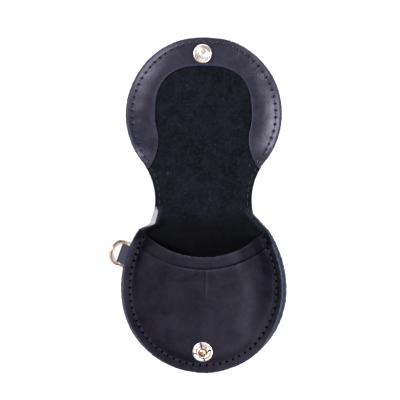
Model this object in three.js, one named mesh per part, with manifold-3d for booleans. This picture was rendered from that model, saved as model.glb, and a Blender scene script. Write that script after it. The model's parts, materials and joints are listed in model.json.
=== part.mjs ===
// Round leather coin purse, lying open on its back.
// Millimetres, +Z up. The origin is on the table, under the centre of the round pouch.
// +X is to the right seen from above, +Y runs from the pouch to the tip of the flap.
// One keyhole-shaped leather makes the back of the pouch, the neck and the flap. The neck is
// cut into three strips here, so that the bend of the leather is four hinges in a row.
import * as THREE from 'three';
import { mergeVertices } from 'three/addons/utils/BufferGeometryUtils.js';
import Module from 'manifold-3d';

const wasm = await Module();
wasm.setup();

// ---- driving dimensions ----
const BACK_T = 1.5;             // leather of the back, neck and flap
const INNER_T = 1.0;            // taller front panel
const OUTER_T = 1.4;            // lower front panel, on top of the taller one
const FACING_T = 1.2;           // horseshoe facing inside the flap
const PLY_GAP = 0.15;           // air between sewn layers

const POUCH_R = 42.5;           // lower outline of the pouch
const SIDE = { x: 11.8, y: 1.0, r: 54.3 };       // flatter arcs of the upper sides
const CORNER = { x: 33.5, y: 30.9 };             // where the front panels end
const SHOULDER_SLOPE = 0.94;    // half width lost for each mm above the corner
const MOUTH = { y: 61.3, r: 44 };                // top edge of the taller panel
const POCKET = { y: 65.5, r: 54.5 };             // top edge of the lower panel
const NECK = { x: 57.2, y: 46.35, r: 32.3 };     // hollow sides of the neck
const FLAP = { y: 90.4, r: 39.95 };              // round end of the flap
const FLAP_JOIN = { x: 31.6, y: 66.0 };          // neck arc meets flap circle

const SEAM = 4.1;               // stitch line to the pouch's edge
const FLAP_SEAM = 2.5;          // stitch line to the flap's edge
const FLANGE = 5;               // flat margin where the layers lie together
const EDGE_LIFT = 3.0;          // the back's rim curls up from the table by this much
const EDGE_LIFT_RISE = 0.02;    // and by a little more for each mm towards the mouth
const CURL = 18;                // width of the curled rim
const FLAP_Z = 2.0;             // underside of the neck and flap
const RISE_START = 23;          // the back climbs from here to the height of the neck

const HINGE_Z = 3.6;            // just above the inner face of the neck
const FIRST_FOLD = 32.5;
const STRIP = 8.93;             // length of each neck strip
const FOLD_GAP = 0.3;           // between strips
const FOLDS = [60, 40, 40, 52]; // degrees at the four folds when closed

const SNAP_X = -0.5;
const SOCKET_Y = 121.5;
const STUD = { y: -31.3, z: 8.34, r: 5.25, flange: 0.8, hump: 1.9 };
const SOCKET = { r: 4.9, h: 2.6, mouth: 3.65, floor: 0.6 };
const CAP = { r: 5.25, h: 2.0 };
const EYELET = { r: 3.6, h: 0.5, barrel: 1.8, bore: 1.1 };
const HOLE_R = 2.15;            // punched through the leather for the snap's barrels

const TAB = { x: -39.7, y: 18.2, nx: -0.94, ny: 0.341, width: 10, tail: 5, thick: 0.7 };
const BAR = { out: 2.0, z: 5.2 };                // axis of the ring's straight bar
const LOOP = { hole: 1.05, r: 1.6 };             // tab leather round the bar
const RING = { wire: 0.75, half: 6.1, leg: 1.5, corner: 1.3 };
const THREAD_R = 0.25;

const PIVOT_Y = -8;             // the pouch's panels are drawn as rays from here

const TILT = FOLDS.reduce((sum, fold) => sum + fold, 0) - 180;   // slope of the closed flap
const SLOPE = Math.tan(THREE.MathUtils.degToRad(TILT));
const PUFF = 0.00132;           // the front swells towards the mouth
const PUFF_START = -25;

const group = new THREE.Group();

const LEATHER = new THREE.MeshStandardMaterial({ color: 0x2d2c36, roughness: 0.5 });
const SUEDE = new THREE.MeshStandardMaterial({ color: 0x1b1e27, roughness: 0.95 });
const METAL = new THREE.MeshStandardMaterial({ color: 0xe2dcd6, roughness: 0.25, metalness: 1 });
const THREAD = new THREE.MeshStandardMaterial({ color: 0x14141a, roughness: 0.8 });

function add(name, geometry, material, parent = group) {
  const mesh = new THREE.Mesh(geometry, material);
  mesh.name = name;
  parent.add(mesh);
  return mesh;
}

// ---- small tools ----
const clamp01 = (value) => Math.min(1, Math.max(0, value));
const smooth = (value) => clamp01(value) ** 2 * (3 - 2 * clamp01(value));

// Values from one number up to, but not including, another.
function steps(from, to, count) {
  return Array.from({ length: count }, (_, i) => from + ((to - from) * i) / count);
}

function toSolid(geometry) {
  const bare = geometry.clone();
  bare.deleteAttribute('normal');
  bare.deleteAttribute('uv');
  const merged = mergeVertices(bare, 1e-4);
  return new wasm.Manifold(new wasm.Mesh({
    numProp: 3,
    vertProperties: new Float32Array(merged.attributes.position.array),
    triVerts: new Uint32Array(merged.index.array),
  }));
}

function toGeometry(solid) {
  const mesh = solid.getMesh();
  const geometry = new THREE.BufferGeometry();
  geometry.setAttribute('position', new THREE.BufferAttribute(mesh.vertProperties, 3));
  geometry.setIndex(new THREE.BufferAttribute(mesh.triVerts, 1));
  geometry.computeVertexNormals();
  return geometry;
}

const cut = (geometry, ...tools) => toGeometry(
  tools.reduce((solid, tool) => solid.subtract(toSolid(tool)), toSolid(geometry)));

function meshFrom(vertices, faces) {
  const geometry = new THREE.BufferGeometry();
  geometry.setAttribute('position', new THREE.Float32BufferAttribute(vertices.flat(), 3));
  geometry.setIndex(faces.flat());
  geometry.computeVertexNormals();
  return geometry;
}

function plate(shape, bottom, thickness, curveSegments = 24) {
  const geometry = new THREE.ExtrudeGeometry(shape, {
    depth: thickness, bevelEnabled: false, curveSegments,
  });
  return geometry.translate(0, 0, bottom);
}

// A round wire along a list of points. frame(i) gives two unit vectors across the wire.
function wire(points, radius, sides, closed, frame) {
  const vertices = [];
  const faces = [];
  points.forEach((point, i) => {
    const [across, up] = frame(i);
    for (let k = 0; k < sides; k += 1) {
      const turn = (2 * Math.PI * k) / sides;
      const place = point.clone()
        .addScaledVector(across, radius * Math.cos(turn))
        .addScaledVector(up, radius * Math.sin(turn));
      vertices.push(place.toArray());
    }
  });
  const last = closed ? points.length : points.length - 1;
  for (let i = 0; i < last; i += 1) {
    const here = i * sides;
    const next = ((i + 1) % points.length) * sides;
    for (let k = 0; k < sides; k += 1) {
      const k2 = (k + 1) % sides;
      faces.push([here + k, next + k2, here + k2], [here + k, next + k, next + k2]);
    }
  }
  if (!closed) {
    const end = (points.length - 1) * sides;
    for (let k = 1; k < sides - 1; k += 1) {
      faces.push([0, k, k + 1], [end, end + k + 1, end + k]);
    }
  }
  return meshFrom(vertices, faces);
}

// A thread lying on a surface: across is level, up is +Z.
function threadAlong(points) {
  const frame = (i) => {
    const before = points[Math.max(0, i - 1)];
    const after = points[Math.min(points.length - 1, i + 1)];
    const along = after.clone().sub(before).setZ(0).normalize();
    return [new THREE.Vector3(along.y, -along.x, 0), new THREE.Vector3(0, 0, 1)];
  };
  return wire(points, THREAD_R, 5, false, frame);
}

// ---- outline of the pouch, as the length of a ray from the pivot ----
// The angle is measured from +Y towards +X.
function rayToCircle(angle, cx, cy, r) {
  const dx = cx;
  const dy = cy - PIVOT_Y;
  const along = dx * Math.sin(angle) + dy * Math.cos(angle);
  return along + Math.sqrt(along ** 2 - dx ** 2 - dy ** 2 + r ** 2);
}

function outline(angle) {
  const side = Math.sign(Math.sin(angle)) || 1;
  const lower = rayToCircle(angle, 0, 0, POUCH_R);
  const isLower = PIVOT_Y + lower * Math.cos(angle) < SIDE.y / 2;
  return isLower ? lower : rayToCircle(angle, -side * SIDE.x, SIDE.y, SIDE.r);
}

// A hollow top edge: the near side of a circle that stands above the pivot.
function hollowEdge(angle, { y, r }) {
  const dy = y - PIVOT_Y;
  const along = dy * Math.cos(angle);
  const under = along ** 2 - dy ** 2 + r ** 2;
  return Math.cos(angle) > 0 && under > 0 ? along - Math.sqrt(under) : Infinity;
}

function shoulderEdge(angle) {
  const across = Math.abs(Math.sin(angle)) + SHOULDER_SLOPE * Math.cos(angle);
  const reach = CORNER.x + SHOULDER_SLOPE * (CORNER.y - PIVOT_Y);
  return Math.cos(angle) > 0 ? reach / across : Infinity;
}

function backEdge(angle) {
  const top = FIRST_FOLD - FOLD_GAP / 2 - PIVOT_Y;
  const straight = Math.cos(angle) > 0 ? top / Math.cos(angle) : Infinity;
  return Math.min(outline(angle), shoulderEdge(angle), straight);
}

const innerEdge = (angle) => Math.min(outline(angle), hollowEdge(angle, MOUTH));
const outerEdge = (angle) => Math.min(outline(angle), hollowEdge(angle, POCKET));

// ---- heights of the pouch's layers ----
function fromEdge(x, y) {
  if (y < SIDE.y / 2) return POUCH_R - Math.hypot(x, y);
  return SIDE.r - Math.hypot(Math.abs(x) + SIDE.x, y - SIDE.y);
}

function backBottom(x, y) {
  const climb = (FLAP_Z * smooth((y - RISE_START) / (FIRST_FOLD - RISE_START)));
  const lift = EDGE_LIFT + EDGE_LIFT_RISE * (y + POUCH_R);
  return climb + lift * clamp01(1 - fromEdge(x, y) / CURL) ** 2;
}

const backTop = (x, y) => backBottom(x, y) + BACK_T;

// Height of the seam beside a point: the back's top where the flat margin ends.
function seamHeight(y) {
  const climb = (FLAP_Z * smooth((y - RISE_START) / (FIRST_FOLD - RISE_START)));
  const lift = EDGE_LIFT + EDGE_LIFT_RISE * (y + POUCH_R);
  return climb + lift * (1 - FLANGE / CURL) ** 2 + BACK_T + PLY_GAP;
}

const LAYERS = INNER_T + PLY_GAP + OUTER_T;

// Underside of the front along its crown line.
function crown(y) {
  const seat = STUD.z - PLY_GAP - LAYERS * Math.hypot(1, SLOPE);
  return seat + SLOPE * (y - STUD.y) + PUFF * Math.max(0, y - PUFF_START) ** 2;
}

function frontBottom(x, y) {
  const inward = fromEdge(x, y) - FLANGE;
  if (inward <= 0) return backTop(x, y) + PLY_GAP;
  const width = 4 + 16 * smooth((y + 36) / 36);
  const swell = 1 - (1 - clamp01(inward / width)) ** 2.2;
  return seamHeight(y) + (crown(y) - seamHeight(y)) * swell;
}

// Upright thickness of a sloping layer for each mm of leather.
function steepness(x, y) {
  const step = 0.5;
  const dx = (frontBottom(x + step, y) - frontBottom(x - step, y)) / (2 * step);
  const dy = (frontBottom(x, y + step) - frontBottom(x, y - step)) / (2 * step);
  return Math.min(1.4, Math.hypot(1, dx, dy));
}

const frontAt = (above) => (x, y) => frontBottom(x, y) + above * steepness(x, y);

// ---- one layer of the pouch: rays from the pivot, rings out to its edge ----
// All three layers use the same rays and rings, so that they nest without touching.
const angleTo = (x, y) => Math.atan2(x, y - PIVOT_Y);
const FRONT_CORNER = angleTo(33.0, 32.2);
const POCKET_CORNER = angleTo(36.7, 25.1);

const halfRays = [
  ...steps(0, FRONT_CORNER, 6),
  ...steps(FRONT_CORNER, POCKET_CORNER, 2),
  ...steps(POCKET_CORNER, Math.PI, 16),
];
const rays = [...halfRays, Math.PI, ...halfRays.slice(1).reverse().map((angle) => -angle)];

// Distances of the rings along one ray. The band is the taller panel's strip above the lower.
function ringReaches(angle, edge) {
  const pocket = Math.min(outerEdge(angle), edge(angle));
  const top = edge(angle);
  const inner = [1, 2, 3, 4, 5, 6].map((i) => (pocket - FLANGE) * (i / 6) ** 0.75);
  return [...inner, pocket - FLANGE / 2, pocket, (pocket + top) / 2, top];
}

function layer(edge, low, high) {
  const vertices = [];
  const places = new Map();
  const vertex = (x, y, z) => {
    const key = [x, y, z].map((value) => value.toFixed(3)).join(' ');
    if (!places.has(key)) {
      places.set(key, vertices.length);
      vertices.push([x, y, z]);
    }
    return places.get(key);
  };
  const sheet = (height) => rays.map((angle) => [0, ...ringReaches(angle, edge)].map((reach) => {
    const x = reach * Math.sin(angle);
    const y = PIVOT_Y + reach * Math.cos(angle);
    return vertex(x, y, height(x, y));
  }));
  const [under, over] = [sheet(low), sheet(high)];
  const faces = [];
  const quad = (a, b, c, d) => faces.push([a, b, c], [a, c, d]);
  const last = under[0].length - 1;
  for (let i = 0; i < rays.length; i += 1) {
    const j = (i + 1) % rays.length;
    for (let ring = 0; ring < last; ring += 1) {
      quad(under[i][ring], under[i][ring + 1], under[j][ring + 1], under[j][ring]);
      quad(over[i][ring], over[j][ring], over[j][ring + 1], over[i][ring + 1]);
    }
    quad(under[i][last], over[i][last], over[j][last], under[j][last]);
  }
  const real = faces.filter(([a, b, c]) => a !== b && b !== c && c !== a);
  return meshFrom(vertices, real);
}

// ---- leather of the pouch ----
// Everything on the stud's axis is drawn upright and turned with the front's slope.
const studFrame = new THREE.Matrix4()
  .makeTranslation(SNAP_X, STUD.y, STUD.z)
  .multiply(new THREE.Matrix4().makeRotationX(THREE.MathUtils.degToRad(TILT)));

function studHole() {
  const punch = new THREE.CylinderGeometry(HOLE_R, HOLE_R, 12, 20);
  return punch.rotateX(Math.PI / 2).applyMatrix4(studFrame);
}

const tabNormal = new THREE.Vector3(TAB.nx, TAB.ny, 0).normalize();
const tabFrame = new THREE.Matrix4()
  .makeBasis(tabNormal, new THREE.Vector3(0, 0, 1),
    new THREE.Vector3().crossVectors(tabNormal, new THREE.Vector3(0, 0, 1)))
  .setPosition(TAB.x, TAB.y, 0);

function tabNotch() {
  const notch = new THREE.BoxGeometry(TAB.tail + 8, 20, TAB.width + 0.8);
  return notch.translate(4 - TAB.tail / 2 - 0.4, 0, 0).applyMatrix4(tabFrame);
}

function backPanel() {
  return layer(backEdge, backBottom, backTop);
}

function innerPanel() {
  const skin = layer(innerEdge, frontAt(0), frontAt(INNER_T));
  return cut(skin, studHole(), tabNotch());
}

function outerPanel() {
  const skin = layer(outerEdge, frontAt(INNER_T + PLY_GAP), frontAt(LAYERS));
  return cut(skin, studHole());
}

add('back_panel', backPanel(), LEATHER);
add('front_inner_panel', innerPanel(), LEATHER);
add('front_outer_panel', outerPanel(), LEATHER);

// ---- neck strips ----
function neckHalf(y) {
  const arc = NECK.x - Math.sqrt(NECK.r ** 2 - (y - NECK.y) ** 2);
  return Math.max(arc, CORNER.x - SHOULDER_SLOPE * (y - CORNER.y));
}

function neckStrip(from, to) {
  const right = [...steps(from, to, 6), to].map((y) => new THREE.Vector2(neckHalf(y), y));
  const left = right.map(({ x, y }) => new THREE.Vector2(-x, y)).reverse();
  return plate(new THREE.Shape([...right, ...left]), FLAP_Z, BACK_T);
}

for (let i = 0; i < FOLDS.length - 1; i += 1) {
  const from = FIRST_FOLD + i * STRIP + FOLD_GAP / 2;
  const to = FIRST_FOLD + (i + 1) * STRIP - FOLD_GAP / 2;
  add(`neck_${i + 1}`, neckStrip(from, to), SUEDE);
}

// ---- flap ----
const FLAP_START = FIRST_FOLD + (FOLDS.length - 1) * STRIP + FOLD_GAP / 2;
const joinAngle = Math.atan2(FLAP_JOIN.y - FLAP.y, FLAP_JOIN.x);

function punchHole(shape) {
  const hole = new THREE.Path();
  hole.absarc(SNAP_X, SOCKET_Y, HOLE_R, 0, 2 * Math.PI, true);
  shape.holes.push(hole);
  return shape;
}

function flapShape() {
  const neck = steps(FLAP_START, FLAP_JOIN.y, 4);
  const shape = new THREE.Shape();
  shape.moveTo(neckHalf(FLAP_START), FLAP_START);
  neck.slice(1).forEach((y) => shape.lineTo(neckHalf(y), y));
  shape.absarc(0, FLAP.y, FLAP.r, joinAngle, Math.PI - joinAngle, false);
  neck.reverse().forEach((y) => shape.lineTo(-neckHalf(y), y));
  return punchHole(shape);
}

// The facing's window is a squarish round above, straight-sided below, with long tapered tips.
const WINDOW = { half: 24.8, up: 25, power: 2.65, waist: 23.2, waistY: 78, tipX: 28.9, tipY: 62 };

function facingShape() {
  const shape = new THREE.Shape();
  shape.moveTo(WINDOW.tipX, WINDOW.tipY);
  shape.lineTo(FLAP_JOIN.x, FLAP_JOIN.y);
  shape.absarc(0, FLAP.y, FLAP.r, joinAngle, Math.PI - joinAngle, false);
  shape.lineTo(-WINDOW.tipX, WINDOW.tipY);
  shape.quadraticCurveTo(-WINDOW.waist, WINDOW.waistY - 8, -WINDOW.waist, WINDOW.waistY);
  [...steps(Math.PI, 0, 20), 0].forEach((angle) => {
    const c = Math.cos(angle);
    const s = Math.sin(angle);
    const x = WINDOW.half * Math.sign(c) * Math.abs(c) ** (2 / WINDOW.power);
    const y = WINDOW.up * Math.abs(s) ** (2 / WINDOW.power);
    shape.lineTo(x, FLAP.y + y);
  });
  shape.lineTo(WINDOW.waist, WINDOW.waistY);
  shape.quadraticCurveTo(WINDOW.waist, WINDOW.waistY - 8, WINDOW.tipX, WINDOW.tipY);
  return punchHole(shape);
}

const FLAP_TOP = FLAP_Z + BACK_T;
const FACING_TOP = FLAP_TOP + FACING_T;
add('flap_panel', plate(flapShape(), FLAP_Z, BACK_T), SUEDE);
add('flap_facing', plate(facingShape(), FLAP_TOP, FACING_T), LEATHER);

// ---- snap fastener ----
// A lathe profile is a list of radius and height pairs, turned about +Z.
function turned(profile, segments = 24) {
  const points = profile.map(([r, z]) => new THREE.Vector2(r, z));
  const geometry = new THREE.LatheGeometry(points, segments);
  return geometry.rotateX(Math.PI / 2);
}

function capGeometry() {
  const top = FLAP_TOP + FACING_T + SOCKET.floor + 0.4;
  const { barrel, bore } = EYELET;
  return turned([
    [0, 0], [CAP.r * 0.55, 0.12], [CAP.r * 0.85, 0.55], [CAP.r, 1.3], [CAP.r, CAP.h - 0.25],
    [CAP.r - 0.3, CAP.h], [barrel, CAP.h], [barrel, top - 0.2], [barrel - 0.2, top],
    [bore, top], [bore, CAP.h - 0.4], [0, CAP.h - 0.4],
  ]);
}

function socketGeometry() {
  const { r, h, mouth, floor } = SOCKET;
  const hole = HOLE_R;
  return turned([
    [hole, 0], [r - 0.5, 0], [r, 0.5], [r, h - 0.6], [r - 0.25, h - 0.15], [r - 0.65, h],
    [mouth + 0.25, h - 0.1], [mouth, h - 0.45], [mouth + 0.1, floor + 0.4], [mouth - 0.3, floor],
    [hole, floor], [hole, 0],
  ]).translate(SNAP_X, SOCKET_Y, FACING_TOP);
}

function studGeometry() {
  const { r, flange, hump } = STUD;
  const hole = HOLE_R;
  const top = flange + hump;
  const body = turned([
    [hole, 0], [r - 0.25, 0], [r, 0.3], [r - 0.2, flange - 0.1], [r - 0.6, flange],
    [3.1, flange], [3.3, flange + 1.0], [3.1, top - 0.25], [2.7, top], [2.35, top - 0.2],
    [hole, top - 0.6], [hole, 0],
  ], 32);
  const slots = [0, 1].map((i) => new THREE.BoxGeometry(2 * 3.7, 0.7, hump)
    .translate(0, 0, flange + hump / 2 + 0.3)
    .rotateZ(THREE.MathUtils.degToRad(12 + 90 * i)));
  return cut(body, ...slots).applyMatrix4(studFrame);
}

// The post comes up from inside the pouch, through both front panels, into the stud.
function eyeletGeometry() {
  const seat = -PLY_GAP - LAYERS - 0.3;
  const { r, h, barrel, bore } = EYELET;
  const top = STUD.flange + 0.5;
  return turned([
    [0, seat - h], [r - 0.3, seat - h], [r, seat - h / 2], [r - 0.2, seat], [barrel, seat],
    [barrel, top - 0.2], [barrel - 0.2, top], [bore, top], [bore, seat], [0, seat],
  ]).applyMatrix4(studFrame);
}

add('snap_cap', capGeometry().translate(SNAP_X, SOCKET_Y, 0), METAL);
add('snap_socket', socketGeometry(), METAL);
add('snap_stud', studGeometry(), METAL);
add('snap_eyelet', eyeletGeometry(), METAL);

// ---- tab and D-ring ----
// The tab's section: a tail between the layers of the seam, then a loop round the ring's bar.
function tabGeometry() {
  const clearance = PLY_GAP + 0.22;
  const rootZ = backTop(TAB.x, TAB.y) + clearance;
  const innerZ = clearance
    + backTop(TAB.x - TAB.tail * tabNormal.x, TAB.y - TAB.tail * tabNormal.y);
  const shape = new THREE.Shape();
  shape.moveTo(-TAB.tail, innerZ + TAB.thick);
  shape.lineTo(-TAB.tail, innerZ);
  shape.lineTo(0, rootZ);
  const start = THREE.MathUtils.degToRad(155);
  const end = THREE.MathUtils.degToRad(445);
  [...steps(start, end, 14), end].forEach((angle) => {
    shape.lineTo(BAR.out + LOOP.r * Math.cos(angle), BAR.z + LOOP.r * Math.sin(angle));
  });
  shape.lineTo(0.1, rootZ + TAB.thick);
  const hole = new THREE.Path();
  hole.absarc(BAR.out, BAR.z, LOOP.hole, 0, 2 * Math.PI, true);
  shape.holes.push(hole);
  const geometry = new THREE.ExtrudeGeometry(shape, {
    depth: TAB.width, bevelEnabled: false, curveSegments: 8,
  });
  return geometry.translate(0, 0, -TAB.width / 2).applyMatrix4(tabFrame);
}

// The ring hangs from its bar until the round end meets the table.
function ringGeometry() {
  const { half, leg, corner } = RING;
  const reach = leg + half;
  const droop = Math.asin((BAR.z - RING.wire) / reach);
  const path = [];
  const arc = (cx, cy, r, from, to, count) => {
    [...steps(from, to, count), to].forEach((angle) => {
      path.push([cx + r * Math.cos(angle), cy + r * Math.sin(angle)]);
    });
  };
  arc(half - corner, corner, corner, -Math.PI / 2, 0, 3);
  arc(0, leg, half, 0, Math.PI, 14);
  arc(corner - half, corner, corner, Math.PI, 1.5 * Math.PI, 3);
  const out = new THREE.Vector3(Math.cos(droop), -Math.sin(droop), 0);
  const along = new THREE.Vector3(0, 0, 1);
  const across = new THREE.Vector3().crossVectors(along, out);
  const points = path.map(([a, m]) => new THREE.Vector3(BAR.out, BAR.z, 0)
    .addScaledVector(along, a).addScaledVector(out, m));
  const frame = (i) => {
    const before = path[(i + path.length - 1) % path.length];
    const after = path[(i + 1) % path.length];
    const length = Math.hypot(after[0] - before[0], after[1] - before[1]);
    const side = [(after[1] - before[1]) / length, -(after[0] - before[0]) / length];
    const sideways = along.clone().multiplyScalar(side[0]).addScaledVector(out, side[1]);
    return [sideways, across];
  };
  return wire(points, RING.wire, 10, true, frame).applyMatrix4(tabFrame);
}

add('ring_tab', tabGeometry(), LEATHER);
add('d_ring', ringGeometry(), METAL);

// ---- sewing thread: the stretches that lie on top of and under the leather ----
function pouchSeam(height, clearance, corner) {
  const end = 2 * Math.PI - corner;
  return threadAlong([...steps(corner, end, 36), end].map((angle) => {
    const reach = outline(angle) - SEAM;
    const x = reach * Math.sin(angle);
    const y = PIVOT_Y + reach * Math.cos(angle);
    return new THREE.Vector3(x, y, height(x, y) + clearance);
  }));
}

function flapSeam(z) {
  const r = FLAP.r - FLAP_SEAM;
  const from = joinAngle + 0.05;
  const to = Math.PI - from;
  return threadAlong([...steps(from, to, 32), to].map((angle) => (
    new THREE.Vector3(r * Math.cos(angle), FLAP.y + r * Math.sin(angle), z)
  )));
}

const THREAD_GAP = THREAD_R + 0.12;
add('pouch_thread_front', pouchSeam(frontAt(LAYERS), THREAD_GAP, POCKET_CORNER + 0.06), THREAD);
add('pouch_thread_back', pouchSeam(backBottom, -THREAD_GAP, POCKET_CORNER + 0.06), THREAD);
add('flap_thread_inside', flapSeam(FACING_TOP + THREAD_GAP), THREAD);
add('flap_thread_outside', flapSeam(FLAP_Z - THREAD_GAP), THREAD);

export default group;
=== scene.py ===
"""Round leather coin purse, open on its back: the looks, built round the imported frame.

Lengths are millimetres until a mesh is made, and metres in Blender. The pouch's centre is the origin,
+Y runs up to the tip of the open flap and +Z points at the camera.
"""
import json
import math

import bmesh
import bpy
import numpy as np
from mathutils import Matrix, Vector


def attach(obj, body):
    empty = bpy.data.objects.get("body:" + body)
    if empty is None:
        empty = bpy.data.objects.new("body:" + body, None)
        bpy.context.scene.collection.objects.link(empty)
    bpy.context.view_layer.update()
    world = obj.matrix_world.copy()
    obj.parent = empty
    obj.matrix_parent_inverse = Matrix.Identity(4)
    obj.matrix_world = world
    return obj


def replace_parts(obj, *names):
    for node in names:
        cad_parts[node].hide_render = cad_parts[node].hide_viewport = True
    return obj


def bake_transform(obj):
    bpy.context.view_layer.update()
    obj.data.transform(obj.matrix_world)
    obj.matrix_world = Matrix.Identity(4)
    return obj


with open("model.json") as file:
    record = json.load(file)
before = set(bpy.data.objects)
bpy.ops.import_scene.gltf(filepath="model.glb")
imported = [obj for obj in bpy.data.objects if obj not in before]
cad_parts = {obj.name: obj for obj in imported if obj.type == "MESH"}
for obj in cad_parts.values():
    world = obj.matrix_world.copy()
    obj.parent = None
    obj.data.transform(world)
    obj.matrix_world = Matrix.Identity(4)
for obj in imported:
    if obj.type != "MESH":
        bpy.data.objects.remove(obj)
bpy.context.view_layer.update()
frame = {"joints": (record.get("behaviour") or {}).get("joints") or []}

MM = 0.001
UP = np.array([0.0, 0.0, 1.0])

# ---- driving sizes, as in the CAD part ----
BACK_T = 1.5
INNER_T = 1.0
OUTER_T = 1.4
FACING_T = 1.2
PLY_GAP = 0.12
ROUND = 0.3                             # radius of a cut edge's corner
H_INNER = PLY_GAP                       # heights of the layers' faces above the back's inner face
H_INNER_TOP = PLY_GAP + INNER_T
H_OUTER = H_INNER_TOP + PLY_GAP
H_OUTER_TOP = H_OUTER + OUTER_T

POUCH_R = 42.5
SIDE_X, SIDE_Y, SIDE_R = 11.8, 1.0, 54.3
CORNER_X, CORNER_Y = 33.5, 30.9
SHOULDER_SLOPE = 0.94
MOUTH_Y, MOUTH_R = 61.3, 44.0
POCKET_Y, POCKET_R = 65.5, 54.5
NECK_X, NECK_Y, NECK_R = 57.2, 46.35, 32.3
FLAP_Y, FLAP_R = 90.4, 39.95
FLAP_Z = 2.0                            # underside of the flap's leather
PIVOT_Y = -22.0                         # the pouch's layers are drawn as rays from here

SEAM = 4.1
FLAP_SEAM = 2.5
NECK_SEAM = 2.4
STITCH = 3.5

HINGE_YS = [j["pos_m"][1] / MM for j in frame["joints"] if j["name"] != "ring_swing"]
STRIP = HINGE_YS[1] - HINGE_YS[0]
POUCH_END = 31.2                        # the sewn pouch ends here and the neck starts to bend
CHAIN = ["pouch", "neck_1", "neck_2", "neck_3", "flap"]

STUD_Y, STUD_Z, STUD_TILT = -31.3, 8.34, math.radians(12)
SOCKET_Y = 121.5
SNAP_X = -0.5

FRONT_CORNER = (33.0, 32.2)             # where the inner front's mouth meets the outline
POCKET_CORNER = (36.7, 25.1)            # where the outer front's mouth meets it
LEVEL_LEAN = math.radians(12)           # a margin that leans no more than this isn't set back
RING_WIRE, RING_HALF, RING_LEG, RING_CORNER = 0.75, 6.1, 1.5, 1.3
RING_BUTT = 0.06                        # half the gap where the ring's ends meet


# ---- arithmetic ----
def smooth(t):
    t = np.clip(t, 0, 1)
    return t * t * (3 - 2 * t)


def bump(value, centre, half):
    """1 at the centre, falling off round half away from it. Angles are in degrees."""
    gap = (np.asarray(value) - centre + 180) % 360 - 180
    return np.exp(-np.abs(gap / half) ** 4)


def ripple(x, y, seed, size, octaves=3):
    """Smooth random waves, about -1 to 1, with the longest about size mm across."""
    local = np.random.default_rng(seed)
    total = np.zeros_like(np.asarray(x, float))
    for octave in range(octaves):
        for _ in range(5):
            angle, phase = local.uniform(0, 2 * math.pi, 2)
            wave = 2 * math.pi * 2 ** octave / size * local.uniform(0.7, 1.3)
            run = x * math.cos(angle) + y * math.sin(angle)
            total += np.sin(run * wave + phase) / (5 ** 0.5 * 2 ** octave)
    return total / 1.3


# ---- plan of the leather ----
def from_edge(x, y):
    """Distance inwards from the pouch's outline."""
    lower = POUCH_R - np.hypot(x, y)
    upper = SIDE_R - np.hypot(np.abs(x) + SIDE_X, y - SIDE_Y)
    return np.where(y < SIDE_Y / 2, lower, upper)


def neck_half(y, side):
    """Half width of the neck and shoulders: side is 1 for the right and -1 for the left."""
    y = np.asarray(y, float)
    arc = NECK_X - np.sqrt(np.maximum(NECK_R ** 2 - (y - NECK_Y) ** 2, 0))
    right = np.maximum(arc, CORNER_X - SHOULDER_SLOPE * (y - CORNER_Y))
    left = arc + 0.4 * smooth((44 - y) / 6) + 4.6 * smooth((34.6 - y) / 3.7)
    return np.where(np.asarray(side) > 0, right, left)


def curl(x, y):
    """Height at the edge and width of the pouch's curled rim, by direction from the centre."""
    angle = np.degrees(np.arctan2(y, x))
    right = bump(angle, 6, 46)
    left = bump(angle, 188, 56)
    return 2.8 + 5.5 * right + 1.2 * left, 22 - 12 * right - 8 * left


def lean(x, y):
    """Angle of the seam's margin above level."""
    height, width = curl(x, y)
    return np.arctan(2 * height / width)


def setback(x, y, h):
    """How far a layer's cut edge stands inside the outline, because the margin leans."""
    return (h + BACK_T) * np.sin(np.maximum(0, lean(x, y) - LEVEL_LEAN))


# ---- heights ----
def back_lift(x, y):
    """The pouch's curled rim, and above it the walls of the two shoulders."""
    height, width = curl(x, y)
    height = height * (1 - smooth((y - 29) / 6))
    rim = height * np.clip(1 - from_edge(x, y) / width, 0, 1.1) ** 2
    side = np.sign(x)
    right = 5.0 * smooth((y - 25) / 5) * (1 - smooth((y - 33) / 10))
    left = 7.6 * smooth((y - 24) / 6) * (1 - smooth((y - 35) / 9))
    shoulder = np.where(side > 0, right, left)
    reach = np.where(side > 0, 9.0, 7.6)
    inward = (neck_half(y, side) - np.abs(x)) * 0.8
    wall = shoulder * np.clip(1 - inward / reach, 0, 1.1) ** 2
    return (rim ** 3 + wall ** 3 + 1e-9) ** (1 / 3)


def back_top(x, y):
    """Inner, suede face of the back and neck."""
    climb = FLAP_Z * smooth((y - 21) / 12)
    waves = 0.12 * ripple(x, y, 3, 34) * smooth((y - 38) / 8)
    return BACK_T + climb + back_lift(x, y) + waves


def steepness(height, x, y, limit=2.0):
    """How much more of a sheet a vertical line crosses where the sheet slopes."""
    step = 0.3
    dx = (height(x + step, y) - height(x - step, y)) / (2 * step)
    dy = (height(x, y + step) - height(x, y - step)) / (2 * step)
    return np.minimum(limit, np.sqrt(1 + dx ** 2 + dy ** 2))


def back_bottom(x, y):
    return back_top(x, y) - BACK_T * steepness(back_top, x, y)


def crown(y):
    """Top face of the lower front panel on its centre line: a seat for the stud, then a swell."""
    slope = math.tan(STUD_TILT)
    swell = 0.00132 * np.maximum(0, y + 25) ** 2
    return STUD_Z - 0.12 + slope * (y - STUD_Y) + swell


def crease_at(x, y):
    """Distance inside the outline where the seam's margin ends and the front starts to rise."""
    angle = np.degrees(np.arctan2(y, x))
    stitch = setback(x, y, H_OUTER_TOP) + SEAM * np.cos(lean(x, y))
    return stitch + 0.9 + 0.7 * bump(angle, 6, 46)


def margin(x, y, h):
    """A face h above the back's inner face, in the sewn margin."""
    return back_top(x, y) + h * steepness(back_top, x, y)


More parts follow.
